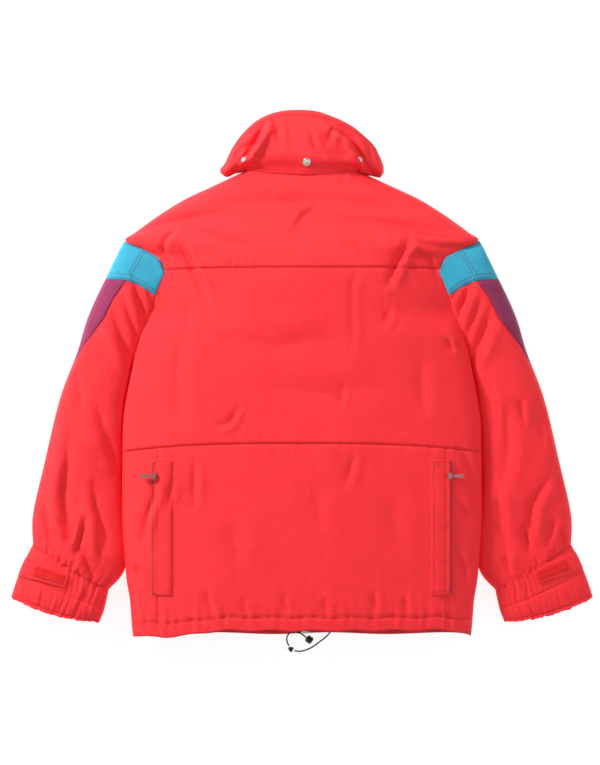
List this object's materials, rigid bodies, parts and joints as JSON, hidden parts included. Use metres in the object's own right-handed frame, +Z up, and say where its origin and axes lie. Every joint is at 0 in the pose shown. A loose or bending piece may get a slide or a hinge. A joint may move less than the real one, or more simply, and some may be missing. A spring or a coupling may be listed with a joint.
{
  "type": "ski jacket",
  "caption": "Padded ski jacket lying flat, back up: panelled shell, wadding and lining, stand collar, rear zip pocket, strapped cuffs and hem draw cord.",
  "frame": {"origin": "bottom centre of the jacket (without its cords) on the surface it lies on", "axes": "+Z up out of the back, +Y towards the collar, +X towards the pictured right sleeve (the wearer's right)"},
  "size_m": [1, 0.9242, 0.085],
  "materials": {
    "shell_cloth": "coral red woven nylon with a soft satin sheen",
    "lining_cloth": "smooth plain lining taffeta",
    "wadding": "bonded polyester wadding",
    "shoulder_cloth": "turquoise woven nylon",
    "stripe_cloth": "plum woven nylon",
    "zip_tape": "woven zip tape and coil",
    "snap_metal": "nickel-plated press stud",
    "zip_metal": "cast zip slider, lacquered",
    "pull_cloth": "stitched pull tab",
    "cord_cloth": "braided dark brown-grey draw cord",
    "cord_plastic": "moulded dark acetal"
  },
  "bodies": {
    "jacket": {"back_yoke": "shell_cloth", "back_panel": "shell_cloth", "rear_pocket_panel": "shell_cloth", "storm_flap": "shell_cloth", "collar_outer": "shell_cloth", "collar_inner": "shell_cloth", "back_padding": "wadding", "lower_back_padding": "wadding", "collar_padding": "wadding", "back_lining": "lining_cloth", "rear_pocket_back": "lining_cloth", "hanger_loop": "lining_cloth", "hood_snap_centre": "snap_metal", "hood_snap_right": "snap_metal", "hood_snap_left": "snap_metal", "cord_lock_spring": "snap_metal", "hem_cord": "cord_cloth", "drawcord_knot": "cord_cloth", "drawcord_loop_right": "cord_cloth", "drawcord_loop_left": "cord_cloth", "drawcord_end": "cord_cloth", "cord_lock": "cord_plastic", "drawcord_bead": "cord_plastic", "back_side_panel_right": "shell_cloth", "front_panel_right": "shell_cloth", "front_padding_right": "wadding", "front_lining_right": "lining_cloth", "shoulder_panel_right": "shoulder_cloth", "rear_zip_right": "zip_tape", "main_zip_tape_right": "zip_tape", "back_side_panel_left": "shell_cloth", "front_panel_left": "shell_cloth", "front_padding_left": "wadding", "front_lining_left": "lining_cloth", "shoulder_panel_left": "shoulder_cloth", "rear_zip_left": "zip_tape", "main_zip_tape_left": "zip_tape"},
    "sleeve_right": {"sleeve_upper_right": "shell_cloth", "sleeve_under_right": "shell_cloth", "sleeve_stripe_right": "stripe_cloth", "sleeve_padding_right": "wadding", "sleeve_lining_right": "lining_cloth", "cuff_right": "shell_cloth", "cuff_elastic_right": "zip_tape"},
    "cuff_strap_right": {"cuff_tab_right": "shell_cloth"},
    "rear_slider_right": {"rear_zip_slider_right": "zip_metal"},
    "rear_pull_right": {"rear_zip_pull_right": "pull_cloth"},
    "sleeve_left": {"sleeve_upper_left": "shell_cloth", "sleeve_under_left": "shell_cloth", "sleeve_stripe_left": "stripe_cloth", "sleeve_padding_left": "wadding", "sleeve_lining_left": "lining_cloth", "cuff_left": "shell_cloth", "cuff_elastic_left": "zip_tape"},
    "cuff_strap_left": {"cuff_tab_left": "shell_cloth"},
    "rear_slider_left": {"rear_zip_slider_left": "zip_metal"},
    "rear_pull_left": {"rear_zip_pull_left": "pull_cloth"},
    "main_slider": {"main_zip_slider": "cord_plastic"},
    "main_pull": {"main_zip_pull": "cord_plastic"},
    "lock_button": {"cord_lock_button": "cord_plastic"}
  },
  "joints": [
    {"name": "sleeve_right_swing", "type": "hinge", "parent": "jacket", "child": "sleeve_right", "pos_m": [0.27, 0.19, 0.026], "axis": [0, 0, 1], "range_deg": [0, 60]},
    {"name": "cuff_strap_right_lift", "type": "hinge", "parent": "sleeve_right", "child": "cuff_strap_right", "pos_m": [0.4655, -0.3185, 0.0322], "axis": [-0.45, 0.893, 0], "range_deg": [0, 110]},
    {"name": "rear_zip_right_slide", "type": "slide", "parent": "jacket", "child": "rear_slider_right", "axis": [0, -1, 0], "range_m": [0, 0.19]},
    {"name": "rear_pull_right_flip", "type": "hinge", "parent": "rear_slider_right", "child": "rear_pull_right", "pos_m": [0.2548, -0.172, 0.0769], "axis": [0, -1, 0], "range_deg": [0, 140]},
    {"name": "sleeve_left_swing", "type": "hinge", "parent": "jacket", "child": "sleeve_left", "pos_m": [-0.27, 0.19, 0.026], "axis": [0, 0, -1], "range_deg": [0, 60]},
    {"name": "cuff_strap_left_lift", "type": "hinge", "parent": "sleeve_left", "child": "cuff_strap_left", "pos_m": [-0.4655, -0.3185, 0.0322], "axis": [-0.45, -0.893, 0], "range_deg": [0, 110]},
    {"name": "rear_zip_left_slide", "type": "slide", "parent": "jacket", "child": "rear_slider_left", "axis": [0, -1, 0], "range_m": [0, 0.19]},
    {"name": "rear_pull_left_flip", "type": "hinge", "parent": "rear_slider_left", "child": "rear_pull_left", "pos_m": [-0.2548, -0.172, 0.0769], "axis": [0, 1, 0], "range_deg": [0, 140]},
    {"name": "main_zip_slide", "type": "slide", "parent": "jacket", "child": "main_slider", "axis": [0, -1, 0], "range_m": [0, 0.7]},
    {"name": "main_pull_flip", "type": "hinge", "parent": "main_slider", "child": "main_pull", "pos_m": [0, 0.288, 0.00145], "axis": [1, 0, 0], "range_deg": [0, 100]},
    {"name": "cord_lock_press", "type": "slide", "parent": "jacket", "child": "lock_button", "axis": [-1, 0, 0], "range_m": [0, 0.003], "stiffness_N_per_m": 300}
  ]
}
